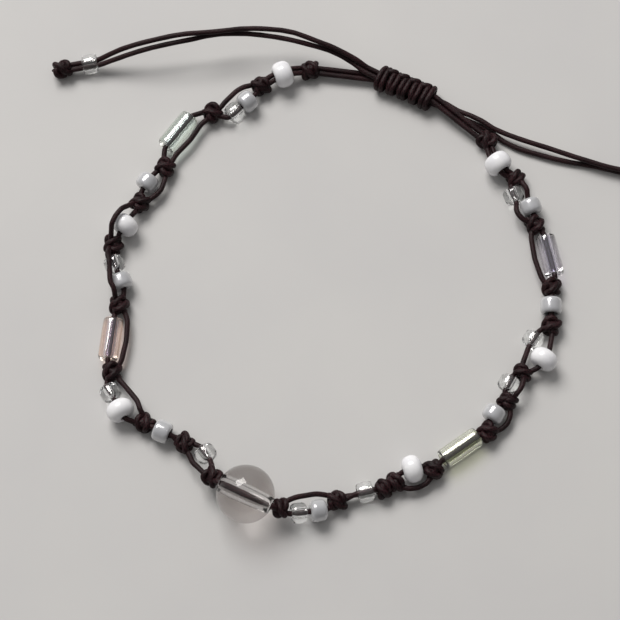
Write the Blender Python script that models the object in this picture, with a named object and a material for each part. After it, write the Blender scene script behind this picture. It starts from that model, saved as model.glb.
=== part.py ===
"""Adjustable beaded bracelet: two cord strands knotted round glass beads, closed by a sliding knot.

Metres, +Z up. The bracelet lies on z = 0 with +X to the right and +Y away from the viewer.
"""
import math
from collections import namedtuple

import bmesh
import bpy
from mathutils import Matrix, Vector

MM = 0.001

# Cord
STRAND_DIAMETER = 0.75 * MM
STRAND_GAP = 0.09 * MM        # between the two strands of a pair
STRAND_CLEARANCE = 0.12 * MM  # between a strand and what it threads or passes
CORD_END_GAP = 0.3 * MM       # where a tail meets the cord or its end knot
STRAND_RESOLUTION = 1         # bevel resolution of the string's strands
TAIL_RESOLUTION = 2           # bevel resolution of the loose tails
WELD_DISTANCE = 0.002 * MM
SHARP_ANGLE = math.radians(50)

# Overhand knots of the string
KNOT_LENGTH = 2.5 * MM
SHORT_KNOT_LENGTH = 2.0 * MM
KNOT_WIDTH = 2.8 * MM
KNOT_HEIGHT = 2.5 * MM
KNOT_SIDES = 8
KNOT_LENGTHS = {"knot": KNOT_LENGTH, "short_knot": SHORT_KNOT_LENGTH}
# Three rounded turns of cord: shares of the knot's length from its middle, and of its half width.
KNOT_OUTLINE = (
    (-0.5, 0.66), (-0.36, 0.97), (-0.17, 0.88), (0.0, 1.0), (0.17, 0.88), (0.36, 0.97), (0.5, 0.66),
)

# Beads: length is measured along the hole
WHITE_LENGTH = 2.7 * MM
WHITE_DIAMETER = 3.9 * MM
PEARL_LENGTH = 2.3 * MM
PEARL_DIAMETER = 3.1 * MM
CLEAR_LENGTH = 2.2 * MM
CLEAR_DIAMETER = 2.9 * MM
BUGLE_LENGTH = 6.0 * MM
BUGLE_DIAMETER = 2.9 * MM
CRYSTAL_DIAMETER = 8.0 * MM
BEAD_SIDES = 12
CRYSTAL_SIDES = 16

# Sliding knot
SLIDER_LENGTH = 8.8 * MM
SLIDER_WIDTH = 4.0 * MM
SLIDER_HEIGHT = 3.0 * MM
SLIDER_WRAPS = 5
SLIDER_WRAP_DEPTH = 0.3 * MM
SLIDER_FOOT_WIDTH = 2.0 * MM
SLIDER_TOP_WIDTH = 2.0 * MM
SLIDER_SHOULDER_RISE = 0.4 * MM  # how far up each edge rounds off, and how far down from the top
SLIDER_SIDE_RISE = 1.1 * MM      # the same for the upright part of each edge
SLIDER_BORE_OVERRUN = 1.0 * MM

# Ends of the tails
END_KNOT_LENGTH = 2.6 * MM
END_KNOT_DIAMETER = 2.6 * MM
TAIL_BEAD_RUN = 1.7 * MM      # bare cord between the tail bead and the end knot
TAIL_EXIT_RUN = 1.5 * MM      # straight cord where a tail leaves the sliding knot

# String as it lies
FIRST_RUN = 8.75 * MM         # bare cord from the sliding knot to the first knot
LAST_RUN = 8.8 * MM           # bare cord from the last knot to the sliding knot
MOUTH_RUN = 0.12 * MM         # straight cord outside each bead hole
BYPASS_BULGE = 0.25 * MM      # how much farther a passing strand stands off at a bead's middle
CRYSTAL_LIFT_SLOPE = 0.22     # fall of the string on each side of the big bead
BEAD_TURN_SHARE = 0.5         # how far a bead turns from the string's heading to its own strand's

BOTH, OUTER, INNER = 0, 1, -1

# corner: how square a bead's outline is, from 1 for an ellipse down to 0 for a box; None for a sphere.
# steps: points of that outline from one hole edge to the other.
BeadKind = namedtuple("BeadKind", "length diameter corner sides steps")
BEAD_KINDS = {
    "white": BeadKind(WHITE_LENGTH, WHITE_DIAMETER, 0.9, BEAD_SIDES, 6),
    "pearl": BeadKind(PEARL_LENGTH, PEARL_DIAMETER, 0.5, BEAD_SIDES, 5),
    "clear": BeadKind(CLEAR_LENGTH, CLEAR_DIAMETER, 0.6, BEAD_SIDES, 5),
    "bugle": BeadKind(BUGLE_LENGTH, BUGLE_DIAMETER, 0.25, BEAD_SIDES, 5),
    "crystal": BeadKind(CRYSTAL_DIAMETER, CRYSTAL_DIAMETER, None, CRYSTAL_SIDES, 9),
}

# The string in order from the sliding knot's left end, anticlockwise seen from above.
# gap: bare cord before the piece as seen from above, in mm; below zero for a bead beside the one before it.
# strand: the strand or strands that thread the bead.
# shift: how far the bead stands outward of the string's line, in mm.
# past: where the other strand passes it, or the pair lies in its hole (0 outward, 90 up), in degrees;
# None where the other strand has a bead of its own beside it.
Piece = namedtuple("Piece", "kind gap strand shift past")
STRING = (
    Piece("knot", 0.0, BOTH, 0.0, 0),
    Piece("white", 1.55, BOTH, 0.0, 0),
    Piece("knot", 0.9, BOTH, 0.0, 0),
    Piece("pearl", 0.55, INNER, -1.5, 0),
    Piece("clear", 0.4, INNER, -2.1, 0),
    Piece("knot", 0.35, BOTH, 0.0, 0),
    Piece("bugle", 1.15, OUTER, 1.7, 180),
    Piece("knot", 1.2, BOTH, 0.0, 0),
    Piece("pearl", 1.0, OUTER, 0.7, 180),
    Piece("knot", 0.7, BOTH, 0.0, 0),
    Piece("white", 1.55, INNER, -0.4, 62),
    Piece("knot", 0.65, BOTH, 0.0, 0),
    Piece("clear", 0.7, INNER, -0.2, 75),
    Piece("pearl", 0.6, INNER, -0.7, 50),
    Piece("knot", 0.85, BOTH, 0.0, 0),
    Piece("bugle", 0.95, OUTER, 0.45, 180),
    Piece("knot", 0.4, BOTH, 0.0, 0),
    Piece("clear", 0.4, OUTER, 1.2, 180),
    Piece("white", 0.35, OUTER, 1.4, 180),
    Piece("knot", 0.7, BOTH, 0.0, 0),
    Piece("pearl", 0.55, BOTH, -0.2, 90),
    Piece("knot", 1.05, BOTH, 0.0, 0),
    Piece("clear", 0.65, INNER, -1.4, 0),
    Piece("knot", 1.15, BOTH, 0.0, 0),
    Piece("crystal", 0.15, BOTH, -0.1, 70),
    Piece("short_knot", 0.1, BOTH, 0.0, 0),
    Piece("clear", 0.25, OUTER, 0.65, 170),
    Piece("pearl", 0.35, OUTER, 0.8, 170),
    Piece("knot", 0.5, BOTH, 0.0, 0),
    Piece("clear", 1.7, BOTH, -0.2, 90),
    Piece("short_knot", 0.4, BOTH, 0.0, 0),
    Piece("short_knot", 0.05, BOTH, 0.0, 0),
    Piece("white", 0.25, INNER, -1.05, -15),
    Piece("knot", 0.25, BOTH, 0.0, 0),
    Piece("bugle", 0.6, BOTH, -0.55, 90),
    Piece("knot", 0.3, BOTH, 0.0, 0),
    Piece("pearl", 0.25, INNER, -0.85, -10),
    Piece("short_knot", 0.45, BOTH, 0.0, 0),
    Piece("clear", 0.25, INNER, -1.0, 30),
    Piece("short_knot", 0.25, BOTH, 0.0, 0),
    Piece("white", 0.8, OUTER, 1.5, None),
    Piece("clear", -0.7, INNER, -1.3, None),
    Piece("knot", 0.85, BOTH, 0.0, 0),
    Piece("pearl", 0.45, BOTH, -0.4, 90),
    Piece("knot", 0.55, BOTH, 0.0, 0),
    Piece("bugle", 0.3, OUTER, 0.75, 180),
    Piece("knot", 0.8, BOTH, 0.0, 0),
    Piece("pearl", 0.25, OUTER, 0.2, 170),
    Piece("clear", 0.25, INNER, -1.5, 25),
    Piece("short_knot", 0.25, BOTH, 0.0, 0),
    Piece("white", 0.8, BOTH, -1.2, 0),
    Piece("knot", 1.4, BOTH, 0.0, 0),
)

# The string's line seen from above, in mm: the sliding knot's middle and ends, then the knots in order.
ROUTE = (
    (13.9, 33.5), (9.8, 35.3), (0.0, 36.5), (-7.3, 33.9), (-14.4, 29.6), (-20.9, 21.1),
    (-24.4, 15.6), (-28.0, 9.2), (-26.9, 0.1), (-27.6, -9.6), (-22.9, -16.9), (-17.3, -19.8),
    (-13.1, -25.1), (-4.3, -29.2), (3.7, -27.8), (10.0, -26.2), (11.8, -25.2), (16.8, -23.6),
    (24.5, -18.2), (27.4, -13.8), (29.6, -9.7), (33.8, -2.8), (34.1, 3.0), (32.1, 12.3),
    (29.8, 19.0), (25.6, 25.3), (18.0, 31.7),
)
ROUTE_STEPS = 24  # samples between two points of the route
TAIL_STEPS = 8    # samples between two points of a tail's line

# The tails' lines from the middle of the sliding knot's end face, in mm.
LEFT_TAIL_OUTER = (
    (-3.3, 2.2, 2.9), (-6.3, 3.6, 3.6), (-9.2, 4.6, 4.1), (-12.1, 5.6, 4.5), (-15.0, 6.0, 4.8),
    (-19.4, 6.0, 5.1), (-23.7, 5.4, 5.3), (-28.8, 5.0, 5.2), (-34.0, 4.1, 4.5), (-37.6, 3.5, 3.3),
)
LEFT_TAIL_INNER = (
    (-3.6, 1.9, 2.1), (-6.3, 3.3, 2.75), (-9.2, 4.1, 3.25), (-12.1, 4.7, 3.7), (-15.0, 5.2, 4.0),
    (-19.4, 5.6, 4.25), (-23.7, 5.4, 4.4), (-27.1, 4.6, 4.45), (-32.3, 3.6, 4.1), (-36.5, 2.8, 3.0),
)
RIGHT_TAIL_OUTER = (
    (3.8, -1.65, 0.95), (6.2, -2.75, 1.3), (8.1, -4.05, 1.3), (9.2, -4.75, 1.3), (12.1, -6.0, 1.3),
    (15.8, -7.3, 1.35), (20.7, -9.05, 1.35), (25.1, -10.5, 1.35), (28.6, -11.3, 1.4), (32.2, -12.1, 1.5),
)
RIGHT_TAIL_INNER = (
    (3.3, -2.3, 0.8), (5.75, -3.2, 0.55), (8.05, -4.4, 0.45), (9.0, -5.2, 0.42), (10.4, -6.3, 0.42),
    (12.1, -7.2, 0.45), (15.8, -8.45, 0.55), (19.5, -9.4, 0.55), (23.3, -10.05, 0.5), (27.0, -11.0, 0.5),
    (29.6, -12.0, 0.7), (32.5, -12.95, 1.2),
)
TAIL_POINT_SPACING = 2.0 * MM
# Each pair's tail bead, in mm from the same face, and which way it points.
LEFT_TAIL_BEAD = (-42.1, 2.0, 1.5)
LEFT_TAIL_HEADING = (-1.0, -0.17, -0.05)
RIGHT_TAIL_BEAD = (36.6, -13.6, 1.5)
RIGHT_TAIL_HEADING = (1.0, -0.3, 0.0)

STRAND_RADIUS = STRAND_DIAMETER / 2
PAIR_OFFSET = (STRAND_DIAMETER + STRAND_GAP) / 2
SINGLE_BORE_RADIUS = STRAND_RADIUS + STRAND_CLEARANCE
PAIR_BORE_RADIUS = PAIR_OFFSET + STRAND_RADIUS + STRAND_CLEARANCE
UP = Vector((0.0, 0.0, 1.0))


def material(name, colour, roughness, alpha=1.0):
    """Plain material with a colour in linear light."""
    made = bpy.data.materials.new(name)
    made.use_nodes = True
    shader = made.node_tree.nodes["Principled BSDF"]
    shader.inputs["Base Color"].default_value = (*colour, 1.0)
    shader.inputs["Roughness"].default_value = roughness
    shader.inputs["Metallic"].default_value = 0.0
    shader.inputs["Alpha"].default_value = alpha
    return made


def make_materials():
    return {
        "cord": material("dark_brown_cord", (0.026, 0.014, 0.014), 0.6),
        "white": material("opaque_white_glass", (0.86, 0.86, 0.88), 0.15),
        "pearl": material("grey_lustre_glass", (0.62, 0.63, 0.66), 0.2),
        "clear": material("clear_glass", (0.93, 0.94, 0.94), 0.05, 0.35),
        "bugle": material("iris_coated_glass", (0.78, 0.80, 0.82), 0.05, 0.35),
        "crystal": material("clear_crystal", (0.88, 0.85, 0.86), 0.02, 0.35),
    }


def smooth_curve(points, steps, closed):
    """Points of a smooth curve through the given ones (Catmull-Rom)."""
    count = len(points)
    spans = count if closed else count - 1
    curve = []
    for i in range(spans):
        if closed:
            before, after = points[i - 1], points[(i + 2) % count]
        else:
            before, after = points[max(i - 1, 0)], points[min(i + 2, count - 1)]
        start, end = points[i], points[(i + 1) % count]
        for step in range(steps):
            t = step / steps
            curve.append(
                0.5 * (2 * start + (end - before) * t + (2 * before - 5 * start + 4 * end - after) * t * t
                       + (3 * start - before - 3 * end + after) * t ** 3)
            )
    if not closed:
        curve.append(points[-1].copy())
    return curve


def evenly_spaced(curve, spacing):
    """Points along a polyline at equal steps of about the given spacing, ends included."""
    lengths = [0.0]
    for i in range(1, len(curve)):
        lengths.append(lengths[-1] + (curve[i] - curve[i - 1]).length)
    count = max(2, round(lengths[-1] / spacing))
    points = []
    j = 0
    for i in range(count + 1):
        target = lengths[-1] * i / count
        while j < len(curve) - 2 and lengths[j + 1] < target:
            j += 1
        share = (target - lengths[j]) / (lengths[j + 1] - lengths[j])
        points.append(curve[j].lerp(curve[j + 1], min(share, 1.0)))
    return points


class StringLine:
    """The closed line that the string follows, scaled so that its pieces just fill it."""

    def __init__(self, total):
        route = [Vector((x * MM, y * MM, 0.0)) for x, y in ROUTE]
        curve = smooth_curve(route, ROUTE_STEPS, True)
        curve.append(curve[0].copy())
        length = sum((curve[i + 1] - curve[i]).length for i in range(len(curve) - 1))
        self.points = [point * (total / length) for point in curve]
        self.lengths = [0.0]
        for i in range(1, len(self.points)):
            self.lengths.append(self.lengths[-1] + (self.points[i] - self.points[i - 1]).length)

    def at(self, distance):
        """The place and heading at a distance along the line."""
        j = 0
        while j < len(self.points) - 2 and self.lengths[j + 1] < distance:
            j += 1
        share = (distance - self.lengths[j]) / (self.lengths[j + 1] - self.lengths[j])
        place = self.points[j].lerp(self.points[j + 1], share)
        return place, (self.points[j + 1] - self.points[j]).normalized()


class Station:
    """One piece of the string: where its middle is and how far it reaches."""

    def __init__(self, piece, start):
        self.piece = piece
        self.is_knot = piece.kind in KNOT_LENGTHS
        if self.is_knot:
            self.length = KNOT_LENGTHS[piece.kind]
            self.height = KNOT_HEIGHT / 2
        else:
            self.length = BEAD_KINDS[piece.kind].length
            self.height = BEAD_KINDS[piece.kind].diameter / 2
        self.distance = start + self.length / 2
        self.centre = None
        self.axis = None

    @property
    def outward(self):
        return self.axis.cross(UP).normalized()

    def aside(self, angle, reach):
        """A point beside the piece's middle, at an angle from outward and up."""
        turn = math.radians(angle)
        lifted = self.outward.cross(self.axis).normalized()
        return self.centre + (self.outward * math.cos(turn) + lifted * math.sin(turn)) * reach


def lay_stations():
    """Every piece of the string in its place, and the line that they follow."""
    stations = []
    end = SLIDER_LENGTH / 2 + FIRST_RUN
    for piece in STRING:
        station = Station(piece, end + piece.gap * MM)
        end = max(end, station.distance + station.length / 2)
        stations.append(station)
    line = StringLine(end + LAST_RUN + SLIDER_LENGTH / 2)
    crystal = next(s for s in stations if s.piece.kind == "crystal")
    for station in stations:
        place, heading = line.at(station.distance)
        lift = crystal.height - CRYSTAL_LIFT_SLOPE * abs(station.distance - crystal.distance)
        sideways = heading.cross(UP) * station.piece.shift * MM
        station.centre = place + sideways + UP * max(station.height, lift)
        station.axis = heading
    return stations, line


def threaded(stations, side):
    """The stations whose own line one strand follows."""
    return [s for s in stations if s.piece.strand in (BOTH, side)]


def turn_to_strands(stations):
    """Point each bead along the strand that threads it; two beads in a row share one line."""
    for side in (OUTER, INNER):
        row = threaded(stations, side)
        for i in range(1, len(row) - 1):
            before, station, after = row[i - 1:i + 2]
            if station.is_knot or (station.piece.strand == BOTH and side == INNER):
                continue
            if not after.is_knot:
                station.axis = (after.centre - station.centre).normalized()
            elif not before.is_knot:
                station.axis = (station.centre - before.centre).normalized()
            else:
                along = (after.centre - before.centre).normalized()
                station.axis = station.axis.lerp(along, BEAD_TURN_SHARE).normalized()


def strand_points(stations, side, start, end):
    """The line of one strand through and past every piece."""
    points = list(start)
    for i, station in enumerate(stations):
        half = station.axis * (station.length / 2)
        if station.is_knot:
            points.append(station.aside(0, side * PAIR_OFFSET))
            continue
        mouth = half + station.axis * MOUTH_RUN
        if station.piece.strand == -side and station.piece.past is None:
            continue
        if station.piece.strand == side:
            beside = station.centre
        elif station.piece.strand == BOTH:
            beside = station.aside(station.piece.past, side * PAIR_OFFSET)
        else:
            reach = BEAD_KINDS[station.piece.kind].diameter / 2 + STRAND_RADIUS + STRAND_CLEARANCE
            beside = station.aside(station.piece.past, reach)
            bulged = station.aside(station.piece.past, reach + BYPASS_BULGE)
            if stations[i - 1].is_knot:
                points.append(beside - half)
            points.append(bulged)
            if stations[i + 1].is_knot:
                points.append(beside + half)
            continue
        points += [beside - mouth, beside + mouth]
    return points + list(end)


def tube_object(name, points, radius, resolution):
    """A round tube through points, as a curve with a bevel and filled caps."""
    curve = bpy.data.curves.new(name, "CURVE")
    curve.dimensions = "3D"
    curve.bevel_depth = radius
    curve.bevel_resolution = resolution
    curve.use_fill_caps = True
    spline = curve.splines.new("POLY")
    spline.points.add(len(points) - 1)
    for target, point in zip(spline.points, points):
        target.co = (*point, 1.0)
    made = bpy.data.objects.new(name, curve)
    bpy.context.scene.collection.objects.link(made)
    return made


def tube_mesh(name, points, radius, resolution):
    """The same tube as a mesh object, for joining."""
    guide = tube_object(name + "_guide", points, radius, resolution)
    rough = bpy.data.meshes.new_from_object(guide)
    bpy.data.objects.remove(guide)
    work = bmesh.new()
    work.from_mesh(rough)
    bmesh.ops.remove_doubles(work, verts=work.verts, dist=WELD_DISTANCE)
    return link_mesh(name, finished_mesh(name, work))


def shade(mesh):
    mesh.shade_smooth()
    mesh.set_sharp_from_angle(angle=SHARP_ANGLE)


def link_mesh(name, mesh):
    made = bpy.data.objects.new(name, mesh)
    bpy.context.scene.collection.objects.link(made)
    return made


def frame_at(centre, axis):
    """A matrix whose X axis runs along the given axis, with Z as upright as it can be."""
    side = UP.cross(axis).normalized()
    upright = axis.cross(side)
    turn = Matrix((axis, side, upright)).transposed().to_4x4()
    return Matrix.Translation(centre) @ turn


def add_turned(work, profile, sides, frame, ring_closed, squash=1.0):
    """Add a body turned about X from (along, radius) points, as a ring or with end caps."""
    rings = []
    for along, radius in profile:
        ring = []
        for i in range(sides):
            angle = 2 * math.pi * (i + 0.5) / sides
            local = Vector((along, radius * math.cos(angle), squash * radius * math.sin(angle)))
            ring.append(work.verts.new(frame @ local))
        rings.append(ring)
    add_skin(work, rings, ring_closed)


def add_skin(work, rings, ring_closed):
    """Faces between each ring and the next, and end caps unless the rings form a loop."""
    pairs = list(zip(rings, rings[1:]))
    if ring_closed:
        pairs.append((rings[-1], rings[0]))
    for ring, following in pairs:
        for i in range(len(ring)):
            j = (i + 1) % len(ring)
            work.faces.new((ring[i], ring[j], following[j], following[i]))
    if not ring_closed:
        work.faces.new(list(reversed(rings[0])))
        work.faces.new(rings[-1])


def finished_mesh(name, work):
    """A mesh from the working geometry, with its faces pointing out."""
    bmesh.ops.recalc_face_normals(work, faces=work.faces)
    mesh = bpy.data.meshes.new(name)
    work.to_mesh(mesh)
    work.free()
    shade(mesh)
    return mesh


def bead_profile(kind, bore_radius):
    """Outline of a drilled bead: a rounded outer side from hole edge to hole edge."""
    half = kind.length / 2
    radius = kind.diameter / 2
    if kind.corner is None:
        first = math.asin(bore_radius / radius)
        turns = [first + (math.pi - 2 * first) * i / (kind.steps - 1) for i in range(kind.steps)]
        return [(-half * math.cos(turn), radius * math.sin(turn)) for turn in turns]
    profile = []
    for i in range(kind.steps):
        turn = math.pi * i / (kind.steps - 1)
        along = -half * math.copysign(abs(math.cos(turn)) ** kind.corner, math.cos(turn))
        profile.append((along, bore_radius + (radius - bore_radius) * math.sin(turn) ** kind.corner))
    return profile


def make_bead(name, kind_name, pair, centre, axis, look):
    kind = BEAD_KINDS[kind_name]
    bore_radius = PAIR_BORE_RADIUS if pair else SINGLE_BORE_RADIUS
    work = bmesh.new()
    add_turned(work, bead_profile(kind, bore_radius), kind.sides, Matrix.Identity(4), True)
    made = link_mesh(name, finished_mesh(name, work))
    made.matrix_world = frame_at(centre, axis)
    made.data.materials.append(look)
    return made


def make_string_beads(stations, looks):
    counts = {}
    made = []
    for station in stations:
        if station.is_knot:
            continue
        kind = station.piece.kind
        counts[kind] = counts.get(kind, 0) + 1
        name = "crystal_bead" if kind == "crystal" else f"{kind}_bead_{counts[kind]}"
        pair = station.piece.strand == BOTH
        made.append(make_bead(name, kind, pair, station.centre, station.axis, looks[kind]))
    return made


def knot_profile(length, width):
    """Outline of an overhand knot."""
    return [(length * along, width / 2 * out) for along, out in KNOT_OUTLINE]


def make_knotted_cord(stations, line, look):
    """Both strands with their knots, joined into one body."""
    slider_middle, slider_heading = line.at(0.0)
    outward = slider_heading.cross(UP)
    half = slider_heading * (SLIDER_LENGTH / 2)
    middle = slider_middle + UP * (SLIDER_HEIGHT / 2)
    strands = []
    for side, label in ((OUTER, "outer"), (INNER, "inner")):
        beside = middle + outward * (side * PAIR_OFFSET)
        inset = slider_heading * CORD_END_GAP
        lower = beside - UP * PAIR_OFFSET
        upper = beside + UP * PAIR_OFFSET
        start = [lower - half + inset, lower + half]
        end = [upper - half, upper + half - inset]
        points = strand_points(stations, side, start, end)
        strands.append(tube_mesh(f"{label}_strand", points, STRAND_RADIUS, STRAND_RESOLUTION))
    work = bmesh.new()
    for station in stations:
        if station.is_knot:
            add_turned(
                work, knot_profile(station.length, KNOT_WIDTH), KNOT_SIDES,
                frame_at(station.centre, station.axis), False, KNOT_HEIGHT / KNOT_WIDTH,
            )
    lumps = link_mesh("knot_lumps", finished_mesh("knot_lumps", work))
    cord = strands[0]
    cord.name = "knotted_cord"
    cord.data.materials.append(look)
    for cutter in (strands[1], lumps):
        join = cord.modifiers.new("join_" + cutter.name, "BOOLEAN")
        join.operation = "UNION"
        join.object = cutter
        join.use_self = True  # a strand may touch itself where it bends tightly
        cutter.hide_render = True
        cutter.display_type = "WIRE"
    return cord, [lumps, strands[1]]


def slider_rings(work):
    """Rings of the sliding knot along X: flat below and above, with a wavy edge of cord turns."""
    rings = []
    steps = 2 * SLIDER_WRAPS
    for i in range(steps + 1):
        along = SLIDER_LENGTH * (i / steps - 0.5)
        trough = i % 2 == 0
        half_width = SLIDER_WIDTH / 2 - (SLIDER_WRAP_DEPTH if trough else 0.0)
        shoulder = half_width - SLIDER_WRAP_DEPTH
        outline = (
            (SLIDER_FOOT_WIDTH / 2, 0.0),
            (shoulder, SLIDER_SHOULDER_RISE),
            (half_width, SLIDER_SIDE_RISE),
            (half_width, SLIDER_HEIGHT - SLIDER_SIDE_RISE),
            (shoulder, SLIDER_HEIGHT - SLIDER_SHOULDER_RISE),
            (SLIDER_TOP_WIDTH / 2, SLIDER_HEIGHT),
        )
        mirrored = [(-across, up) for across, up in reversed(outline)]
        rings.append([work.verts.new((along, across, up)) for across, up in (*outline, *mirrored)])
    return rings


def make_slider(line, look):
    """The sliding knot, bored for the four strands that run through it."""
    place, heading = line.at(0.0)
    work = bmesh.new()
    add_skin(work, slider_rings(work), False)
    slider = link_mesh("sliding_knot", finished_mesh("sliding_knot", work))
    slider.data.materials.append(look)
    cutter_work = bmesh.new()
    bmesh.ops.create_cube(cutter_work, size=1.0)
    bore_width = 2 * PAIR_BORE_RADIUS
    size = Matrix.Diagonal((SLIDER_LENGTH + 2 * SLIDER_BORE_OVERRUN, bore_width, bore_width, 1.0))
    raise_to_axis = Matrix.Translation(UP * (SLIDER_HEIGHT / 2))
    bmesh.ops.transform(cutter_work, matrix=raise_to_axis @ size, verts=cutter_work.verts)
    cutter = link_mesh("slider_bore_cutter", finished_mesh("slider_bore_cutter", cutter_work))
    cutter.hide_render = True
    cutter.display_type = "WIRE"
    bore = slider.modifiers.new("bore", "BOOLEAN")
    bore.operation = "DIFFERENCE"
    bore.object = cutter
    frame = frame_at(place, heading)
    slider.matrix_world = frame
    cutter.matrix_world = frame
    return slider, [cutter]


def tail_points(face, away, lane, bead_lane, level, route, bead_place, bead_heading):
    """Evenly spaced points of one tail, from the sliding knot's face to just short of the end knot."""
    start = face + UP * level + lane
    chosen = [start, start + away * TAIL_EXIT_RUN]
    chosen += [Vector((face.x + x * MM, face.y + y * MM, z * MM)) for x, y, z in route]
    half = bead_heading * (CLEAR_LENGTH / 2 + MOUTH_RUN)
    finish = bead_place + bead_heading * (CLEAR_LENGTH / 2 + TAIL_BEAD_RUN - CORD_END_GAP)
    chosen += [bead_place + bead_lane - half, bead_place + bead_lane, finish + bead_lane]
    return evenly_spaced(smooth_curve(chosen, TAIL_STEPS, False), TAIL_POINT_SPACING)


def make_tail_end(side_name, bead_place, heading, looks):
    """The clear bead and the end knot of one pair of tails."""
    bead = make_bead(f"tail_bead_{side_name}", "clear", True, bead_place, heading, looks["clear"])
    reach = CLEAR_LENGTH / 2 + TAIL_BEAD_RUN + END_KNOT_LENGTH / 2
    work = bmesh.new()
    profile = knot_profile(END_KNOT_LENGTH, END_KNOT_DIAMETER)
    add_turned(work, profile, KNOT_SIDES, Matrix.Identity(4), False)
    knot = link_mesh(f"end_knot_{side_name}", finished_mesh(f"end_knot_{side_name}", work))
    knot.matrix_world = frame_at(bead_place + heading * reach, heading)
    knot.data.materials.append(looks["cord"])
    return [bead, knot]


def make_tails(line, looks):
    """Four loose strands, two from each end of the sliding knot, with a bead and a knot on each pair."""
    place, heading = line.at(0.0)
    axis_height = SLIDER_HEIGHT / 2
    sides = (
        ("left", 1, axis_height + PAIR_OFFSET, LEFT_TAIL_OUTER, LEFT_TAIL_INNER, LEFT_TAIL_BEAD,
         LEFT_TAIL_HEADING),
        ("right", -1, axis_height - PAIR_OFFSET, RIGHT_TAIL_OUTER, RIGHT_TAIL_INNER, RIGHT_TAIL_BEAD,
         RIGHT_TAIL_HEADING),
    )
    made = []
    for name, sign, level, outer_route, inner_route, bead_offset, bead_heading in sides:
        away = heading * sign
        face = place + away * (SLIDER_LENGTH / 2)
        across = heading.cross(UP)
        bead_place = Vector((face.x, face.y, 0.0)) + Vector(bead_offset) * MM
        bead_axis = Vector(bead_heading).normalized()
        bead_across = bead_axis.cross(UP).normalized() * sign
        for label, route, side in (("outer", outer_route, OUTER), ("inner", inner_route, INNER)):
            lane = across * (side * PAIR_OFFSET)
            bead_lane = bead_across * (side * PAIR_OFFSET)
            points = tail_points(face, away, lane, bead_lane, level, route, bead_place, bead_axis)
            tail = tube_object(f"tail_{name}_{label}", points, STRAND_RADIUS, TAIL_RESOLUTION)
            tail.data.materials.append(looks["cord"])
            made.append(tail)
        made += make_tail_end(name, bead_place, bead_axis, looks)
    return made


def stand_on_origin(parts, loop_parts):
    """Hang every part from one empty, so that the loop's box stands centred on the origin."""
    bpy.context.view_layer.update()
    reader = bpy.context.evaluated_depsgraph_get()
    corners = []
    for part in loop_parts:
        shown = part.evaluated_get(reader)
        mesh = shown.to_mesh()
        corners += [part.matrix_world @ vertex.co for vertex in mesh.vertices]
        shown.to_mesh_clear()
    low = Vector(min(corner[i] for corner in corners) for i in range(3))
    high = Vector(max(corner[i] for corner in corners) for i in range(3))
    base = bpy.data.objects.new("bracelet_origin", None)
    bpy.context.scene.collection.objects.link(base)
    for part in parts:
        part.parent = base
    base.location = (-(low.x + high.x) / 2, -(low.y + high.y) / 2, -low.z)


def main():
    for old in list(bpy.data.objects):
        bpy.data.objects.remove(old)
    looks = make_materials()
    stations, line = lay_stations()
    turn_to_strands(stations)
    cord, cord_cutters = make_knotted_cord(stations, line, looks["cord"])
    slider, slider_cutters = make_slider(line, looks["cord"])
    beads = make_string_beads(stations, looks)
    tails = make_tails(line, looks)
    loop_parts = [cord, slider, *beads]
    stand_on_origin([*loop_parts, *tails, *cord_cutters, *slider_cutters], loop_parts)
    bpy.context.view_layer.update()


main()
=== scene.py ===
import math
from collections import namedtuple
from types import SimpleNamespace

import bpy
import numpy as np
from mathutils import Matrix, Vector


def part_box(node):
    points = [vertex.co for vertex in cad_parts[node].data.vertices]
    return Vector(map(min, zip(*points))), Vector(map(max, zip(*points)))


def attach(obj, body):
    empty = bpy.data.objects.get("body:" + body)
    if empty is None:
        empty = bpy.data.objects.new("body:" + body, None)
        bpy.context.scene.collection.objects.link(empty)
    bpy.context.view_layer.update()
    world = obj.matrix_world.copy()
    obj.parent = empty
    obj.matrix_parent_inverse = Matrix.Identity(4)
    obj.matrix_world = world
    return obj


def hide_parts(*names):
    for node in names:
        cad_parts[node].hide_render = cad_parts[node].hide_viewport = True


bl_info = {
    "name": "Knotted bead bracelet",
    "version": (1, 0, 0),
    "blender": (4, 5, 0),
    "location": "View3D > Sidebar > Bracelet",
    "description": "Dresses the packed bracelet with braided cord, tied knots and turned glass beads",
    "category": "Object",
}

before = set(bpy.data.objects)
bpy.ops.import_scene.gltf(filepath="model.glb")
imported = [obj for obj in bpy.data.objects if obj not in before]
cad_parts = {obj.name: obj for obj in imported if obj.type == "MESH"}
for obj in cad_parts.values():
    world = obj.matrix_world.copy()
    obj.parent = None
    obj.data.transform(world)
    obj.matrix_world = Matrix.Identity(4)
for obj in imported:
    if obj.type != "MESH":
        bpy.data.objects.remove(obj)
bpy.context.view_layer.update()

MM = 0.001
BOTH, OUTER, INNER = 0, 1, -1
UP = np.array((0.0, 0.0, 1.0))
# Where the key light stands from the bracelet, how far off, and its two sides, in metres.
KEY_DIRECTION = (-0.28, 0.55, 0.75)
KEY_DISTANCE = 1.2
KEY_SIZE = (0.74, 0.56)
FLOOR_HALF = 1.5
SENSOR_WIDTH = 36.0
FRAME_PIXELS = 620

# Cord: points around it, their step along it and their softening, and strands of its braid.
CORD_SIDES = 16
CORD_STEP, CORD_BLUR = 0.1 * MM, 0.3 * MM
BRAID_STRANDS = 12
# How much a strand's radius wanders, and over what length along it.
CORD_WANDER, CORD_WAVE = 0.015, 0.55 * MM
# How much thicker than bare cord a strand is drawn in a knot and in the sliding knot.
KNOT_SWELL, SLIDER_SWELL = 1.12, 1.08
# A knot's strand: its reach round the string as a share of the room there, and how far it dives.
KNOT_REACH, KNOT_DIVE = 0.85, 0.22
# How far apart a knot's two lumps stand: along as a share of its length, across as one of that room.
KNOT_STAGGER, KNOT_LEAN = 0.13, 0.09
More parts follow.
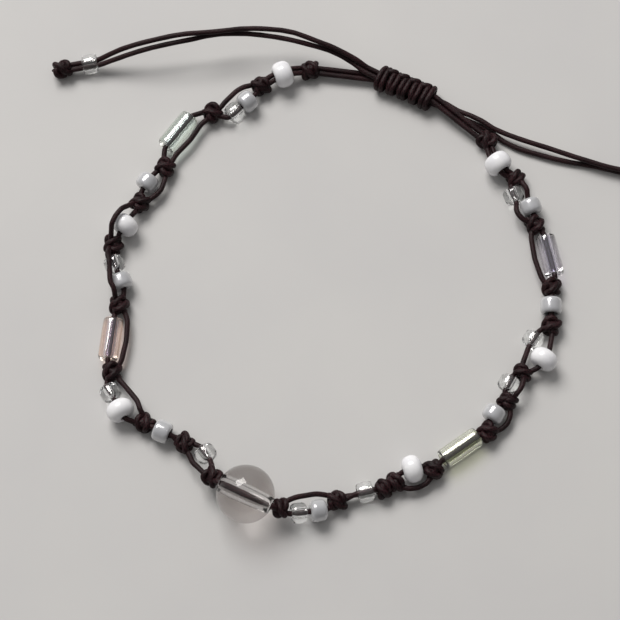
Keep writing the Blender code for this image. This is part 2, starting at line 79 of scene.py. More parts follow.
# How square the sliding knot's rings are: 1 an ellipse, near 0 a box.
RING_CORNER = 0.8
# Turn of each knot round the string from the last, and of an end knot, in radians.
KNOT_TURN, END_KNOT_TURN = 2.4, 0.7
# How far a tail runs into its end knot, and the melted point beyond it.
TAIL_HOLD = 0.7 * MM
TIP_LENGTH, TIP_SWELL = 0.3 * MM, 1.2

# Fall of the string on each side of the large ball.
BALL_SLOPE = 0.22
BALL_SIDES, BALL_STEPS = 72, 60
BEAD_SIDES, BORE_STEPS = 40, 12
# Each kind of bead: how square its outline is, and its number of points.
BeadShape = namedtuple("BeadShape", "corner steps")
BEAD_SHAPES = {
    "white": BeadShape(0.9, 32),
    "pearl": BeadShape(0.6, 32),
    "clear": BeadShape(0.6, 32),
    "bugle": BeadShape(0.25, 40),
}

# The string in order from the sliding knot's left end, anticlockwise seen from above.
# gap: bare cord before the piece as seen from above, in mm; below zero for a bead beside the one before it.
# strand: the strand or strands that thread the bead.
# shift: how far the bead stands outward of the string's line, in mm.
# past: where the other strand passes it, or the pair lies in its hole (0 outward, 90 up), in degrees;
# None where the other strand has a bead of its own beside it. Left out: both strands, on the line.
Piece = namedtuple("Piece", "kind gap strand shift past", defaults=(BOTH, 0.0, 0))
STRING = [Piece(*row) for row in (
    ("knot", 0.0),
    ("white", 1.55),
    ("knot", 0.9),
    ("pearl", 0.55, INNER, -1.5, 0),
    ("clear", 0.4, INNER, -2.1, 0),
    ("knot", 0.35),
    ("bugle", 1.15, OUTER, 1.7, 180),
    ("knot", 1.2),
    ("pearl", 1.0, OUTER, 0.7, 180),
    ("knot", 0.7),
    ("white", 1.55, INNER, -0.4, 62),
    ("knot", 0.65),
    ("clear", 0.7, INNER, -0.2, 75),
    ("pearl", 0.6, INNER, -0.7, 50),
    ("knot", 0.85),
    ("bugle", 0.95, OUTER, 0.45, 180),
    ("knot", 0.4),
    ("clear", 0.4, OUTER, 1.2, 180),
    ("white", 0.35, OUTER, 1.4, 180),
    ("knot", 0.7),
    ("pearl", 0.55, BOTH, -0.2, 90),
    ("knot", 1.05),
    ("clear", 0.65, INNER, -1.4, 0),
    ("knot", 1.15),
    ("crystal", 0.15, BOTH, -0.1, 70),
    ("short_knot", 0.1),
    ("clear", 0.25, OUTER, 0.65, 170),
    ("pearl", 0.35, OUTER, 0.8, 170),
    ("knot", 0.5),
    ("clear", 1.7, BOTH, -0.2, 90),
    ("short_knot", 0.4),
    ("short_knot", 0.05),
    ("white", 0.25, INNER, -1.05, -15),
    ("knot", 0.25),
    ("bugle", 0.6, BOTH, -0.55, 90),
    ("knot", 0.3),
    ("pearl", 0.25, INNER, -0.85, -10),
    ("short_knot", 0.45),
    ("clear", 0.25, INNER, -1.0, 30),
    ("short_knot", 0.25),
    ("white", 0.8, OUTER, 1.5, None),
    ("clear", -0.7, INNER, -1.3, None),
    ("knot", 0.85),
    ("pearl", 0.45, BOTH, -0.4, 90),
    ("knot", 0.55),
    ("bugle", 0.3, OUTER, 0.75, 180),
    ("knot", 0.8),
    ("pearl", 0.25, OUTER, 0.2, 170),
    ("clear", 0.25, INNER, -1.5, 25),
    ("short_knot", 0.25),
    ("white", 0.8, BOTH, -1.2, 0),
    ("knot", 1.4),
)]

# The string's line seen from above, in mm: the sliding knot's middle and ends, then the knots in order.
ROUTE = (
    (13.9, 33.5), (9.8, 35.3), (0.0, 36.5), (-7.3, 33.9), (-14.4, 29.6), (-20.9, 21.1),
    (-24.4, 15.6), (-28.0, 9.2), (-26.9, 0.1), (-27.6, -9.6), (-22.9, -16.9), (-17.3, -19.8),
    (-13.1, -25.1), (-4.3, -29.2), (3.7, -27.8), (10.0, -26.2), (11.8, -25.2), (16.8, -23.6),
    (24.5, -18.2), (27.4, -13.8), (29.6, -9.7), (33.8, -2.8), (34.1, 3.0), (32.1, 12.3),
    (29.8, 19.0), (25.6, 25.3), (18.0, 31.7),
)
ROUTE_STEPS = 24
TAIL_STEPS = 8
TAIL_POINT_SPACING = 2.0 * MM

# The tails' lines from the middle of the sliding knot's end face, in mm.
LEFT_TAIL_OUTER = (
    (-3.3, 2.2, 2.9), (-6.3, 3.6, 3.6), (-9.2, 4.6, 4.1), (-12.1, 5.6, 4.5), (-15.0, 6.0, 4.8),
    (-19.4, 6.0, 5.1), (-23.7, 5.4, 5.3), (-28.8, 5.0, 5.2), (-34.0, 4.1, 4.5), (-37.6, 3.5, 3.3),
)
LEFT_TAIL_INNER = (
    (-3.6, 1.9, 2.1), (-6.3, 3.3, 2.75), (-9.2, 4.1, 3.25), (-12.1, 4.7, 3.7), (-15.0, 5.2, 4.0),
    (-19.4, 5.6, 4.25), (-23.7, 5.4, 4.4), (-27.1, 4.6, 4.45), (-32.3, 3.6, 4.1), (-36.5, 2.8, 3.0),
)
RIGHT_TAIL_OUTER = (
    (3.8, -1.65, 0.95), (6.2, -2.75, 1.3), (8.1, -4.05, 1.3), (9.2, -4.75, 1.3), (12.1, -6.0, 1.3),
    (15.8, -7.3, 1.35), (20.7, -9.05, 1.35), (25.1, -10.5, 1.35), (28.6, -11.3, 1.4), (32.2, -12.1, 1.5),
)
RIGHT_TAIL_INNER = (
    (3.3, -2.3, 0.8), (5.75, -3.2, 0.55), (8.05, -4.4, 0.45), (9.0, -5.2, 0.42), (10.4, -6.3, 0.42),
    (12.1, -7.2, 0.45), (15.8, -8.45, 0.55), (19.5, -9.4, 0.55), (23.3, -10.05, 0.5), (27.0, -11.0, 0.5),
    (29.6, -12.0, 0.7), (32.5, -12.95, 1.2),
)
# Each pair of tails: which end of the sliding knot, upper or lower layer, its lines, its bead and heading.
TailPair = namedtuple("TailPair", "side sign layer outer inner bead heading")
TAIL_PAIRS = (
    TailPair("left", 1, 1, LEFT_TAIL_OUTER, LEFT_TAIL_INNER, (-42.1, 2.0, 1.5), (-1.0, -0.17, -0.05)),
    TailPair("right", -1, -1, RIGHT_TAIL_OUTER, RIGHT_TAIL_INNER, (36.6, -13.6, 1.5), (1.0, -0.3, 0.0)),
)


def linear(code):
    """Linear red, green and blue of an sRGB hex colour."""
    parts = [int(code[i:i + 2], 16) / 255 for i in (1, 3, 5)]
    return tuple(c / 12.92 if c <= 0.04045 else ((c + 0.055) / 1.055) ** 2.4 for c in parts)


def length_property(name, description, default):
    """A length of the add-on, in metres."""
    return bpy.props.FloatProperty(name=name, description=description, default=default, min=0.0,
                                   unit="LENGTH", precision=5)


def colour_property(name, description, code):
    """A colour of the add-on, from its sRGB hex code."""
    return bpy.props.FloatVectorProperty(name=name, description=description, default=linear(code),
                                         min=0.0, max=1.0, size=3, subtype="COLOR")


class CordSettings(bpy.types.PropertyGroup):
    strand: length_property("Strand diameter", "Thickness of one braided strand", 0.75 * MM)
    pair_gap: length_property("Pair gap", "Air between the two strands of a pair", 0.09 * MM)
    clearance: length_property("Clearance", "Air between a strand and the hole it runs through", 0.12 * MM)
    end_gap: length_property("End gap", "Air where a tail meets the string or its end knot", 0.3 * MM)
    mouth_run: length_property("Mouth run", "Straight cord outside each bead hole", 0.12 * MM)
    bypass_bulge: length_property("Bulge", "Extra room of a strand that passes a bead", 0.25 * MM)
    plait: length_property("Braid pitch", "Length along the strand of one crossing of the braid", 0.6 * MM)
    first_run: length_property("First run", "Bare cord from the sliding knot to the first knot", 8.75 * MM)
    last_run: length_property("Last run", "Bare cord from the last knot to the sliding knot", 8.8 * MM)
    tail_exit: length_property("Tail exit", "Straight cord where a tail leaves the sliding knot", 1.5 * MM)
    tail_bead_run: length_property("Tail bead run", "Bare cord from a tail bead to its end knot", 1.7 * MM)


class KnotSettings(bpy.types.PropertyGroup):
    length: length_property("Knot length", "An overhand knot along the string", 2.5 * MM)
    short_length: length_property("Short knot length", "A tightly pulled knot along the string", 2.0 * MM)
    width: length_property("Knot width", "An overhand knot across the string", 2.8 * MM)
    height: length_property("Knot height", "An overhand knot over the surface", 2.5 * MM)
    end_length: length_property("End knot length", "The knot at a tail's end, along it", 2.6 * MM)
    end_width: length_property("End knot width", "The knot at a tail's end, across it", 2.6 * MM)
    slider_length: length_property("Sliding knot length", "The closure along the string", 8.8 * MM)
    slider_width: length_property("Sliding knot width", "The closure across the string", 4.0 * MM)
    slider_height: length_property("Sliding knot height", "The closure over the surface", 3.0 * MM)
    slider_turns: bpy.props.IntProperty(name="Turns", description="Doubled turns of cord of the closure",
                                        default=5, min=2, max=12)


class BeadSettings(bpy.types.PropertyGroup):
    white_length: length_property("White length", "A white bead along its hole", 2.7 * MM)
    white_width: length_property("White diameter", "A white bead across its hole", 3.9 * MM)
    pearl_length: length_property("Lustre length", "A lustre bead along its hole", 2.3 * MM)
    pearl_width: length_property("Lustre diameter", "A lustre bead across its hole", 3.1 * MM)
    clear_length: length_property("Clear length", "A clear seed bead along its hole", 2.2 * MM)
    clear_width: length_property("Clear diameter", "A clear seed bead across its hole", 2.9 * MM)
    bugle_length: length_property("Bugle length", "A bugle along its hole", 6.0 * MM)
    bugle_width: length_property("Bugle diameter", "A bugle across its hole", 2.9 * MM)
    crystal_width: length_property("Ball diameter", "The large clear ball", 8.0 * MM)


class ColourSettings(bpy.types.PropertyGroup):
    # The cord's colour runs from painted shade in the braid's hollows to its fibre colour, with a painted
    # sheen on the raised fibres.
    cord_hollow_shade: colour_property("Cord hollows", "Colour between the fibres of the cord", "#0c0608")
    cord_fibre_and_sheen: colour_property("Cord fibres", "Colour of the cord's raised fibres", "#4a2a31")
    white_glass: colour_property("White glass", "Colour of the opaque white beads", "#fbfbff")
    lustre: colour_property("Lustre", "Colour of the grey lustre beads", "#cdced3")
    clear_glass: colour_property("Clear glass", "Tint of the clear seed beads", "#fcfdfd")
    ball: colour_property("Ball", "Tint of the large clear ball", "#dbd8d7")
    floor: colour_property("Floor", "Colour of the surface", "#cfcecd")


class StageSettings(bpy.types.PropertyGroup):
    elevation: bpy.props.FloatProperty(name="Camera elevation", default=math.radians(72),
                                       description="Angle of the camera over the surface", subtype="ANGLE")
    distance: length_property("Camera distance", "From the camera to the loop's middle", 0.300)
    focal_pixels: bpy.props.FloatProperty(name="Focal length in pixels", default=2118.0, min=100.0,
                                          description="Focal length as seen by a frame of 620 pixels")
    key_power: bpy.props.FloatProperty(name="Key light", description="Power of the large soft light",
                                       default=12.2, min=0.0, subtype="POWER")
    fill: bpy.props.FloatProperty(name="Fill", description="Strength of the light from all round",
                                  default=0.47, min=0.0)


# Layout of the string, the same as in the solids.

def unit(vectors):
    """The same directions with length 1."""
    vectors = np.asarray(vectors, float)
    return vectors / np.linalg.norm(vectors, axis=-1, keepdims=True)


def smooth_curve(points, steps, closed):
    """Catmull-Rom curve: cubics from point to point, with slopes of half the chord of their neighbours."""
    points = np.asarray(points, float)
    if closed:
        before, start, end, after = (np.roll(points, -k, 0) for k in (-1, 0, 1, 2))
    else:
        padded = np.vstack((points[:1], points, points[-1:]))
        before, start, end, after = padded[:-3], padded[1:-2], padded[2:-1], padded[3:]
    before, start, end, after = (p[:, None, :] for p in (before, start, end, after))
    t = (np.arange(steps) / steps)[None, :, None]
    curve = 0.5 * (2 * start + (end - before) * t + (2 * before - 5 * start + 4 * end - after) * t ** 2
                   + (3 * start - before - 3 * end + after) * t ** 3)
    curve = curve.reshape(-1, points.shape[1])
    return curve if closed else np.vstack((curve, points[-1:]))


def run_lengths(points):
    """Distance of each point from the first, along the line through them."""
    return np.concatenate(([0.0], np.cumsum(np.linalg.norm(np.diff(points, axis=0), axis=1))))


def evenly_spaced(points, spacing):
    """Points at even distances along a line, as near to the spacing as whole steps allow."""
    along = run_lengths(points)
    places = np.linspace(0.0, along[-1], max(2, round(along[-1] / spacing)) + 1)
    return np.stack([np.interp(places, along, points[:, k]) for k in range(3)], axis=1)


def softened(points, spacing, blur):
    """Points at even steps, each the mean of its neighbours weighted by a bell curve of the given width."""
    even = evenly_spaced(points, spacing)
    reach = int(3 * blur / spacing)
    weights = np.exp(-0.5 * (np.arange(-reach, reach + 1) * spacing / blur) ** 2)
    weights /= weights.sum()
    first, last = even[0], even[-1]
    lead = 2 * first - even[reach:0:-1]
    trail = 2 * last - even[-2:-reach - 2:-1]
    padded = np.vstack((lead, even, trail))
    return np.stack([np.convolve(padded[:, k], weights, "valid") for k in range(3)], axis=1)


def piece_size(kind, scene):
    """Length and diameter or height of a knot or bead."""
    knots, beads = scene.bracelet_knots, scene.bracelet_beads
    if kind == "knot":
        return knots.length, knots.height
    if kind == "short_knot":
        return knots.short_length, knots.height
    if kind == "crystal":
        return beads.crystal_width, beads.crystal_width
    return getattr(beads, kind + "_length"), getattr(beads, kind + "_width")


def heading_at(line, distance):
    """The place at a distance along the line, and the line's direction there."""
    along = run_lengths(line)
    j = int(np.clip(np.searchsorted(along, distance) - 1, 0, len(line) - 2))
    share = (distance - along[j]) / (along[j + 1] - along[j])
    return line[j] + share * (line[j + 1] - line[j]), unit(line[j + 1] - line[j])


def aside(station, angle, reach):
    """A point beside a piece's middle, at an angle from outward and up."""
    outward = unit(np.cross(station.axis, UP))
    lifted = unit(np.cross(outward, station.axis))
    turn = math.radians(angle)
    return station.centre + (outward * math.cos(turn) + lifted * math.sin(turn)) * reach


def lay_out(scene):
    """Every knot and bead of the string in its place in the frame, and the line that they follow."""
    cord, knots = scene.bracelet_cord, scene.bracelet_knots
    stations = []
    end = knots.slider_length / 2 + cord.first_run
    for piece in STRING:
        length, width = piece_size(piece.kind, scene)
        distance = end + piece.gap * MM + length / 2
        end = max(end, distance + length / 2)
        stations.append(SimpleNamespace(piece=piece, length=length, width=width, distance=distance,
                                        is_knot=piece.kind in ("knot", "short_knot")))
    total = end + cord.last_run + knots.slider_length / 2
    route = np.column_stack((np.array(ROUTE) * MM, np.zeros(len(ROUTE))))
    line = smooth_curve(route, ROUTE_STEPS, True)
    line = np.vstack((line, line[:1]))
    line *= total / run_lengths(line)[-1]
    ball = next(s for s in stations if s.piece.kind == "crystal")
    for s in stations:
        place, heading = heading_at(line, s.distance)
        lift = ball.width / 2 - BALL_SLOPE * abs(s.distance - ball.distance)
        s.centre = place + np.cross(heading, UP) * s.piece.shift * MM + UP * max(s.width / 2, lift)
        s.axis = heading
    for side in (OUTER, INNER):
        row = [s for s in stations if s.piece.strand in (BOTH, side)]
        for before, s, after in zip(row, row[1:], row[2:]):
            if s.is_knot or (s.piece.strand == BOTH and side == INNER):
                continue
            if not after.is_knot:
                s.axis = unit(after.centre - s.centre)
            elif not before.is_knot:
                s.axis = unit(s.centre - before.centre)
            else:
                s.axis = unit(0.5 * (s.axis + unit(after.centre - before.centre)))
    low, high = (np.array(corner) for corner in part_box("crystal_bead"))
    base = (low + high) / 2 - ball.centre
    line = line + base
    for s in stations:
        s.centre = s.centre + base
    return SimpleNamespace(stations=stations, line=line, base=base)


def strand_route(layout, side, scene):
    """The line of one strand through and past every piece, with its ends in the sliding knot."""
    cord, knots = scene.bracelet_cord, scene.bracelet_knots
    offset = (cord.strand + cord.pair_gap) / 2
    place, heading = heading_at(layout.line, 0.0)
    half = heading * knots.slider_length / 2
    middle = place + UP * knots.slider_height / 2 + np.cross(heading, UP) * side * offset
    lower, upper = middle - UP * offset, middle + UP * offset
    points = [lower - half + heading * cord.end_gap, lower + half]
    stations = layout.stations
    for i, s in enumerate(stations):
        half_axis = s.axis * s.length / 2
        if s.is_knot:
            points.append(aside(s, 0, side * offset))
            continue
        if s.piece.strand == -side and s.piece.past is None:
            continue
        if s.piece.strand in (side, BOTH):
            mouth = half_axis + s.axis * cord.mouth_run
            beside = s.centre if s.piece.strand == side else aside(s, s.piece.past, side * offset)
            points += [beside - mouth, beside + mouth]
            continue
        reach = s.width / 2 + cord.strand / 2 + cord.clearance
        beside = aside(s, s.piece.past, reach)
        if stations[i - 1].is_knot:
            points.append(beside - half_axis)
        points.append(aside(s, s.piece.past, reach + cord.bypass_bulge))
        if stations[i + 1].is_knot:
            points.append(beside + half_axis)
    points += [upper - half, upper + half - heading * cord.end_gap]
    return np.array(points)


def tail_route(layout, pair, side, scene):
    """The line of one tail, from the sliding knot's face to just short of the end knot."""
    cord, knots, beads = scene.bracelet_cord, scene.bracelet_knots, scene.bracelet_beads
    offset = (cord.strand + cord.pair_gap) / 2
    place, heading = heading_at(layout.line, 0.0)
    away = heading * pair.sign
    face = place + away * knots.slider_length / 2
    lane = np.cross(heading, UP) * side * offset
    level = knots.slider_height / 2 + pair.layer * offset
    start = face + lane + UP * level
    middle, axis = tail_bead_place(face, pair)
    bead_lane = unit(np.cross(axis, UP)) * pair.sign * side * offset
    lead = axis * (beads.clear_length / 2 + cord.mouth_run)
    finish = middle + axis * (beads.clear_length / 2 + cord.tail_bead_run - cord.end_gap)
    chosen = pair.outer if side == OUTER else pair.inner
    points = [start, start + away * cord.tail_exit]
    points += [np.array((face[0], face[1], 0.0)) + np.array(p) * MM for p in chosen]
    points += [middle + bead_lane - lead, middle + bead_lane, finish + bead_lane]
    return evenly_spaced(smooth_curve(np.array(points), TAIL_STEPS, False), TAIL_POINT_SPACING)


def tail_bead_place(face, pair):
    """The middle of a pair's bead and the direction of its hole."""
    return np.array((face[0], face[1], 0.0)) + np.array(pair.bead) * MM, unit(pair.heading)


# Surfaces

Surface = namedtuple("Surface", "points quads uv caps")


def grid_surface(grid, along, closed_along):
    """Quads over a grid of points (along, around) that closes around, with u around and v along in mm."""
    rows, columns = grid.shape[:2]
    spans = rows if closed_along else rows - 1
    i, j = (k.ravel() for k in np.meshgrid(np.arange(spans), np.arange(columns), indexing="ij"))
    after_i, after_j = (i + 1) % rows, (j + 1) % columns
    quads = np.stack((i * columns + j, i * columns + after_j, after_i * columns + after_j,
                      after_i * columns + j), axis=1)
    along = np.append(along, along[-1] + (along[-1] - along[-2])) / MM
    u = np.stack((j, j + 1, j + 1, j), axis=1) / columns
    v = np.stack((along[i], along[i], along[i + 1], along[i + 1]), axis=1)
    ring = list(range(columns))
    caps = [] if closed_along else [ring[::-1], [(rows - 1) * columns + k for k in ring]]
    return Surface(grid.reshape(-1, 3), quads, np.stack((u, v), axis=2).reshape(-1, 2), caps)


def tube(path, radius, sides, upright, closed=False, taper=None):
    """A circle carried along a path at right angles to it.

    Its radius is the given one times the taper, and wanders by a share of that in slow waves."""
    if closed:
        tangent = unit(np.roll(path, -1, 0) - np.roll(path, 1, 0))
    else:
        tangent = unit(np.gradient(path, axis=0))
    across = unit(np.cross(upright, tangent))
    lifted = np.cross(tangent, across)
    along = run_lengths(path)
    turn = 2 * np.pi * np.arange(sides) / sides
    phase = along[:, None] / CORD_WAVE
    waves = np.sin(phase + 2 * turn) + np.sin(0.63 * phase - 3 * turn)
    if closed:
        waves = np.sin(2 * turn)[None] * np.ones((len(path), 1))
    reach = radius * (1 + CORD_WANDER * waves)
    if taper is not None:
        reach = reach * taper[:, None]
    ring = np.cos(turn)[:, None] * across[:, None, :] + np.sin(turn)[:, None] * lifted[:, None, :]
    return grid_surface(path[:, None, :] + reach[..., None] * ring, along, closed)


def turned(profile, centre, axis, sides):
    """A closed outline of (along, radius) points turned about an axis through the centre.

    Each point goes along the axis by its first number and out along every spoke by its second."""
    side = unit(np.cross(UP, axis))
    upright = np.cross(axis, side)
    turn = 2 * np.pi * np.arange(sides) / sides
    spokes = np.cos(turn)[:, None] * side + np.sin(turn)[:, None] * upright
    grid = centre + profile[:, :1, None] * axis + profile[:, 1:, None] * spokes[None]
    closed = np.vstack((profile, profile[:1]))
    return grid_surface(grid, np.linalg.norm(np.diff(closed, axis=0), axis=1).cumsum(), True)


def make_piece(name, surfaces, look, replaced, hole_look=None, hole_start=0):
    """One object from one or more surfaces, riding on the bracelet's one body.

    With a finish for its hole, the faces from hole_start on take that finish."""
    counts = np.cumsum([0] + [len(s.points) for s in surfaces])
    points = np.vstack([s.points for s in surfaces])
    faces = np.vstack([s.quads + start for s, start in zip(surfaces, counts)]).tolist()
    uv = np.vstack([s.uv for s in surfaces])
    caps = [[k + int(start) for k in cap] for s, start in zip(surfaces, counts) for cap in s.caps]
    mesh = bpy.data.meshes.new(name)
    mesh.from_pydata(points.tolist(), [], faces + caps)
    extra = sum(len(cap) for cap in caps)
    layer = mesh.uv_layers.new(name="Cloth")
    layer.data.foreach_set("uv", np.concatenate((uv.ravel(), np.zeros(2 * extra))))
    mesh.shade_smooth()
    mesh.materials.append(look)
    if hole_look:
        mesh.materials.append(hole_look)
        finish = (np.arange(len(mesh.polygons)) >= hole_start).astype(np.int32)
        mesh.polygons.foreach_set("material_index", finish)
    made = bpy.data.objects.new(name, mesh)
    bpy.context.scene.collection.objects.link(made)
    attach(made, "root")
    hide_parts(*replaced)
    return made


# Materials

def node(tree, kind, inputs=(), stops=(), **settings):
    """Adds one shader node, with its settings and a ramp's stops, and sets or links its inputs.

    A node given as an input stands for the first of its outputs that is in use."""
    made = tree.nodes.new("ShaderNode" + kind)
    for key, value in settings.items():
        setattr(made, key, value)
    for _ in stops[2:]:
        made.color_ramp.elements.new(0.5)
    for point, (place, colour) in zip(made.color_ramp.elements if stops else (), stops):
        point.position = place
        point.color = rgba(colour)
    for socket, value in dict(inputs).items():
        if isinstance(value, bpy.types.Node):
            value = next(output for output in value.outputs if not output.is_unavailable)
        if isinstance(value, bpy.types.NodeSocket):
            tree.links.new(value, made.inputs[socket])
        else:
            made.inputs[socket].default_value = value
    return made


def new_material(name):
    """An empty material, its node tree, and the place of each point on its own object."""
    made = bpy.data.materials.new(name)
    made.use_nodes = True
    tree = made.node_tree
    tree.nodes.clear()
    return made, tree, node(tree, "TexCoord").outputs["Object"]


def rgba(colour):
    """A colour with full alpha."""
    return (*colour, 1.0)


def waxed_braided_cord(scene):
    """Polyester cord, braided and waxed.

    Its fine braid gives raised lozenges painted lighter as a soft plum sheen, over hollows painted nearly
    black as shade."""
    colours = scene.bracelet_colours
    plait = scene.bracelet_cord.plait / MM
    made, tree, place = new_material("waxed_braided_cord")
    uv = node(tree, "UVMap", uv_map="Cloth")
    axes = node(tree, "SeparateXYZ", {"Vector": uv})
    around = node(tree, "Math", {0: axes.outputs["X"], 1: BRAID_STRANDS * math.pi}, operation="MULTIPLY")
    along = node(tree, "Math", {0: axes.outputs["Y"], 1: 2 * math.pi / plait}, operation="MULTIPLY")
    # Waves that slant one way and the other cross in lozenges.
    waves = []
    for way in ("ADD", "SUBTRACT"):
        slant = node(tree, "Math", {0: around, 1: along}, operation=way)
        waves.append(node(tree, "Math", {0: slant}, operation="SINE"))
    weave = node(tree, "Math", {0: waves[0], 1: waves[1]}, operation="MAXIMUM")
    height = node(tree, "MapRange", {"Value": weave, "From Min": -0.6, "From Max": 1.0})
    # Fibres are drawn 6.5 to the mm, coarser than they are, so that their sparkle shows: they vary the
    # roughness, and they lighten the colour as a painted glint.
    fibres = node(tree, "TexNoise", {"Vector": place, "Scale": 6.5 / MM, "Detail": 3.0, "Roughness": 0.6})
    # Patches of wax are about 2 mm wide.
    patches = node(tree, "TexNoise", {"Vector": place, "Scale": 0.45 / MM})
    # Raised fibres are painted lighter as a sheen, and the hollows darker as shade.
    lit = node(tree, "Math", {0: height, 1: fibres}, operation="MULTIPLY")
    base = node(tree, "Mix", {"Factor": lit, "A": rgba(colours.cord_hollow_shade), "B": rgba(colours.cord_fibre_and_sheen)},
                data_type="RGBA")
    tone = node(tree, "ValToRGB", {"Fac": patches}, ((0.35, linear("#b09a9e")), (0.65, linear("#fff2ee"))))
    tinted = node(tree, "Mix", {"Factor": 1.0, "A": base, "B": tone}, data_type="RGBA",
                  blend_type="MULTIPLY")
    rough = node(tree, "MapRange", {"Value": fibres, "To Min": 0.6, "To Max": 0.42})
    relief = node(tree, "Math", {0: height, 1: fibres}, operation="ADD")
    bump = node(tree, "Bump", {"Strength": 0.5, "Distance": 0.04 * MM, "Height": relief})
    shader = node(tree, "BsdfPrincipled",
                  {"Base Color": tinted, "Roughness": rough, "Normal": bump, "Specular IOR Level": 0.22,
                   "Sheen Weight": 0.02, "Sheen Roughness": 0.4, "Sheen Tint": rgba(linear("#b0707c"))})
    node(tree, "OutputMaterial", {"Surface": shader})
    return made


def white_pressed_glass(scene):
    """Opaque white pressed glass: soft milky shading under a hard, clean gloss."""
    made, tree, place = new_material("white_pressed_glass")
    # Clouding of the milky glass, about 1.4 mm wide.
    cloud = node(tree, "TexNoise", {"Vector": place, "Scale": 0.7 / MM, "Detail": 2.0})
    tone = node(tree, "ValToRGB", {"Fac": cloud},
                ((0.3, linear("#eeeef3")), (0.7, scene.bracelet_colours.white_glass)))
    bump = node(tree, "Bump", {"Strength": 0.08, "Distance": 0.1 * MM, "Height": cloud})
    shader = node(tree, "BsdfPrincipled",
                  {"Base Color": tone, "Roughness": 0.16, "IOR": 1.52, "Normal": bump,
                   "Subsurface Weight": 0.3, "Subsurface Scale": 0.6 * MM,
                   "Subsurface Radius": (1.0, 1.0, 1.0)})
    node(tree, "OutputMaterial", {"Surface": shader})
    return made


def silver_lustre_glass(scene):
    """Translucent glass fired with a silvery lustre: greyer where it faces the eye, with a painted sheen
    that pales it at its rims.
    """
    made, tree, place = new_material("silver_lustre_glass")
    # Unevenness of the fired skin, about 1.1 mm wide.
    cloud = node(tree, "TexNoise", {"Vector": place, "Scale": 0.9 / MM, "Detail": 2.0})
    # Towards the rims the colour is painted paler, a painted sheen.
    edge = node(tree, "LayerWeight", {"Blend": 0.4})
    tone = node(tree, "ValToRGB", {"Fac": edge.outputs["Facing"]},
                ((0.0, scene.bracelet_colours.lustre), (0.55, linear("#e6e7ea")), (1.0, linear("#f4f5f8"))))
    bump = node(tree, "Bump", {"Strength": 0.4, "Distance": 0.1 * MM, "Height": cloud})
    shader = node(tree, "BsdfPrincipled",
                  {"Base Color": tone, "Roughness": 0.2, "IOR": 1.6, "Normal": bump, "Metallic": 0.15,
                   "Transmission Weight": 0.25, "Coat Weight": 0.8, "Coat Roughness": 0.06})
    node(tree, "OutputMaterial", {"Surface": shader})
    return made


def clear_glass(name, tints, roughness, film=0.0):
    """Clear glass that lets most of the light straight through to what lies under it.

    The three tints follow each other from where it faces the eye to its edges, as an iris coating's do.
    The film is the share of a hard, bright coating."""
    made, tree, place = new_material(name)
    # Ripples of pressed and drawn glass, about 2 mm long.
    ripple = node(tree, "TexNoise", {"Vector": place, "Scale": 0.5 / MM})
    bump = node(tree, "Bump", {"Strength": 0.05, "Distance": 0.1 * MM, "Height": ripple})
    edge = node(tree, "LayerWeight", {"Blend": 0.5})
    tone = node(tree, "ValToRGB", {"Fac": edge.outputs["Facing"]}, tuple(zip((0.0, 0.1, 0.8), tints)))
    shader = node(tree, "BsdfPrincipled",
                  {"Base Color": tone, "Roughness": roughness, "IOR": 1.5, "Normal": bump,
                   "Transmission Weight": 1.0, "Coat Weight": film, "Coat IOR": 1.9})
    through = node(tree, "BsdfTransparent", {"Color": rgba(tints[1])})
    # Four fifths of a shadow ray goes straight through.
    path = node(tree, "LightPath")
    share = node(tree, "Math", {0: path.outputs["Is Shadow Ray"], 1: 0.8}, operation="MULTIPLY")
    mixed = node(tree, "MixShader", {"Fac": share, 1: shader, 2: through})
    node(tree, "OutputMaterial", {"Surface": mixed})
    return made


def matt_board(scene):
    """Matt, pale grey board with very faint clouding, about 30 mm wide."""
    made, tree, place = new_material("pale_matt_board")
    cloud = node(tree, "TexNoise", {"Vector": place, "Scale": 0.035 / MM, "Detail": 4.0})
    tone = node(tree, "ValToRGB", {"Fac": cloud},
                ((0.35, linear("#cbcaca")), (0.65, scene.bracelet_colours.floor)))
    shader = node(tree, "BsdfPrincipled", {"Base Color": tone, "Roughness": 0.65})
    node(tree, "OutputMaterial", {"Surface": shader})
    return made


def cord_look(scene):
    """The cord's material, made at its first use."""
    return bpy.data.materials.get("waxed_braided_cord") or waxed_braided_cord(scene)


def seed_look(scene):
    """The clear seed beads' material, made at its first use."""
    tint = scene.bracelet_colours.clear_glass
    made = bpy.data.materials.get("clear_seed_glass")
    return made or clear_glass("clear_seed_glass", (tint,) * 3, 0.02, 0.6)


# Pieces

def drilled(arc, bore, lip):
    """Closes an outline straight back along the hole, and bevels the hole's edges by the lip."""
    back = np.linspace(arc[-1, 0] - lip, arc[0, 0] + lip, BORE_STEPS)
    arc[[0, -1], 1] += lip
    return np.vstack((arc, np.column_stack((back, np.full(BORE_STEPS, bore)))))


def bead_outline(length, width, bore, corner, steps):
    """Outline of a drilled bead from hole edge to hole edge, as half a flattened wave.

    The power on the wave squares its corners: 1 gives an ellipse, near 0 a box."""
    turn = np.linspace(0.0, np.pi, steps)
    along = -length / 2 * np.sign(np.cos(turn)) * np.abs(np.cos(turn)) ** corner
    arc = np.column_stack((along, bore + (width / 2 - bore) * np.abs(np.sin(turn)) ** corner))
    return drilled(arc, bore, 0.06 * MM)


def ball_outline(width, bore, steps):
    """Outline of a drilled ball: a true arc from hole edge to hole edge."""
    first = math.asin(bore / (width / 2))
    turn = np.linspace(first, math.pi - first, steps)
    arc = np.column_stack((-np.cos(turn), np.sin(turn))) * width / 2
    return drilled(arc, bore, 0.1 * MM)


def bore_radius(scene, pair):
    """Radius of a hole for one strand, or for a pair side by side."""
    cord = scene.bracelet_cord
    offset = (cord.strand + cord.pair_gap) / 2 if pair else 0.0
    return offset + cord.strand / 2 + cord.clearance


